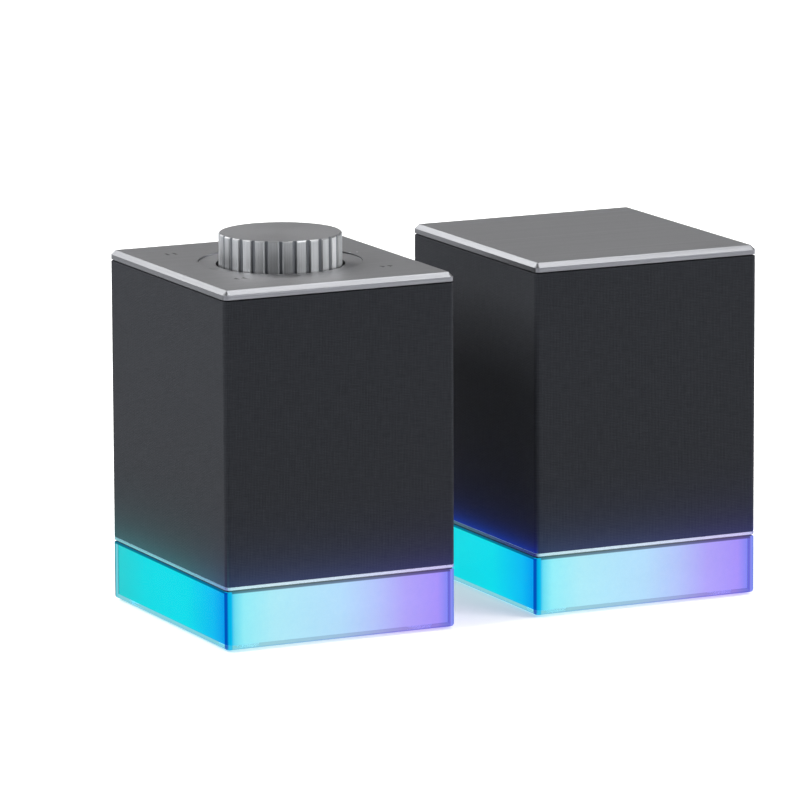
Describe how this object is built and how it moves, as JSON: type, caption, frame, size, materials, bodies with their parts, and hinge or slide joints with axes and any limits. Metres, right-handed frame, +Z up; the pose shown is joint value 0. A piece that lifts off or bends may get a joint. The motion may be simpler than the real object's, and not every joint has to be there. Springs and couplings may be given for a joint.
{
  "type": "desktop speakers",
  "caption": "Pair of square desktop speakers in fabric sleeves on glowing clear bases, one with a fluted push-and-turn volume knob on its metal top plate.",
  "frame": {"origin": "on the desk plane, at the centre of the rectangle that holds both speakers", "axes": "+Z up, +X from the left speaker to the right one, -Y out of the fronts"},
  "size_m": [0.216, 0.1044, 0.142],
  "materials": {
    "silicone": "matt",
    "clear_acrylic": "polished, clear",
    "opal_acrylic": "frosted, lit from inside",
    "circuit_board": "solder mask",
    "led": "moulded package",
    "black_plastic": "fine moulded grain",
    "bright_trim": "bright satin",
    "charcoal_fabric": "fine plain weave",
    "brushed_plate": "dark anodised, brushed, bright cut edge",
    "zinc_steel": "zinc plated",
    "ferrite": "sintered ferrite ring",
    "copper": "enamelled copper winding",
    "paper_cone": "pressed paper pulp",
    "woven_spider": "resin-dipped cotton",
    "rubber_roll": "matt butyl",
    "radiator_steel": "black coated",
    "socket_shell": "nickel plated",
    "wire_jacket": "PVC jacket",
    "turned_knob": "turned, circular brushed top"
  },
  "bodies": {
    "left_speaker": {"left_feet": "silicone", "left_light_cover": "clear_acrylic", "left_light_diffuser": "opal_acrylic", "left_light_board": "circuit_board", "left_leds": "led", "left_mid_deck": "black_plastic", "left_trim_ring": "bright_trim", "left_cabinet": "black_plastic", "left_grille_shell": "black_plastic", "left_fabric_sleeve": "charcoal_fabric", "left_top_plate": "brushed_plate", "left_screws": "zinc_steel", "left_driver_basket": "zinc_steel", "left_driver_magnet": "ferrite", "left_motor_steel": "zinc_steel", "left_driver_spider": "woven_spider", "left_driver_surround": "rubber_roll", "left_radiator_surround": "rubber_roll", "left_socket_panel": "black_plastic", "left_link_socket": "socket_shell", "left_wiring": "wire_jacket", "left_amplifier_board": "circuit_board", "left_usb_socket": "socket_shell", "left_aux_jack": "black_plastic", "left_control_board": "circuit_board", "encoder_body": "black_plastic"},
    "right_speaker": {"right_feet": "silicone", "right_light_cover": "clear_acrylic", "right_light_diffuser": "opal_acrylic", "right_light_board": "circuit_board", "right_leds": "led", "right_mid_deck": "black_plastic", "right_trim_ring": "bright_trim", "right_cabinet": "black_plastic", "right_grille_shell": "black_plastic", "right_fabric_sleeve": "charcoal_fabric", "right_top_plate": "brushed_plate", "right_screws": "zinc_steel", "right_driver_basket": "zinc_steel", "right_driver_magnet": "ferrite", "right_motor_steel": "zinc_steel", "right_driver_spider": "woven_spider", "right_driver_surround": "rubber_roll", "right_radiator_surround": "rubber_roll", "right_socket_panel": "black_plastic", "right_link_socket": "socket_shell", "right_wiring": "wire_jacket", "right_link_board": "circuit_board"},
    "left_cone": {"left_voice_coil": "copper", "left_driver_cone": "paper_cone", "left_dust_cap": "paper_cone"},
    "left_radiator": {"left_radiator_plate": "radiator_steel"},
    "right_cone": {"right_voice_coil": "copper", "right_driver_cone": "paper_cone", "right_dust_cap": "paper_cone"},
    "right_radiator": {"right_radiator_plate": "radiator_steel"},
    "encoder_rotor": {"encoder_rotor": "black_plastic"},
    "volume_knob": {"volume_knob": "turned_knob", "knob_insert": "black_plastic", "encoder_shaft": "zinc_steel"}
  },
  "joints": [
    {"name": "knob_turn", "type": "hinge", "parent": "left_speaker", "child": "encoder_rotor", "pos_m": [-0.06245, -0.0012, 0.1262], "axis": [0, 0, 1], "continuous": true},
    {"name": "knob_press", "type": "slide", "parent": "encoder_rotor", "child": "volume_knob", "axis": [0, 0, -1], "range_m": [0, 0.0005], "stiffness_N_per_m": 6000, "springref_m": -0.0001},
    {"name": "speaker_spacing", "type": "slide", "parent": "left_speaker", "child": "right_speaker", "axis": [1, 0, 0], "range_m": [-0.02, 0.2]},
    {"name": "left_cone_travel", "type": "slide", "parent": "left_speaker", "child": "left_cone", "axis": [0, -1, 0], "range_m": [-0.002, 0.002], "stiffness_N_per_m": 1500, "deforming": ["left_driver_surround", "left_driver_spider"]},
    {"name": "left_radiator_travel", "type": "slide", "parent": "left_speaker", "child": "left_radiator", "axis": [0, 1, 0], "range_m": [-0.0025, 0.0025], "stiffness_N_per_m": 1200, "deforming": ["left_radiator_surround"]},
    {"name": "right_cone_travel", "type": "slide", "parent": "right_speaker", "child": "right_cone", "axis": [0, -1, 0], "range_m": [-0.002, 0.002], "stiffness_N_per_m": 1500, "deforming": ["right_driver_surround", "right_driver_spider"]},
    {"name": "right_radiator_travel", "type": "slide", "parent": "right_speaker", "child": "right_radiator", "axis": [0, 1, 0], "range_m": [-0.0025, 0.0025], "stiffness_N_per_m": 1200, "deforming": ["right_radiator_surround"]}
  ]
}
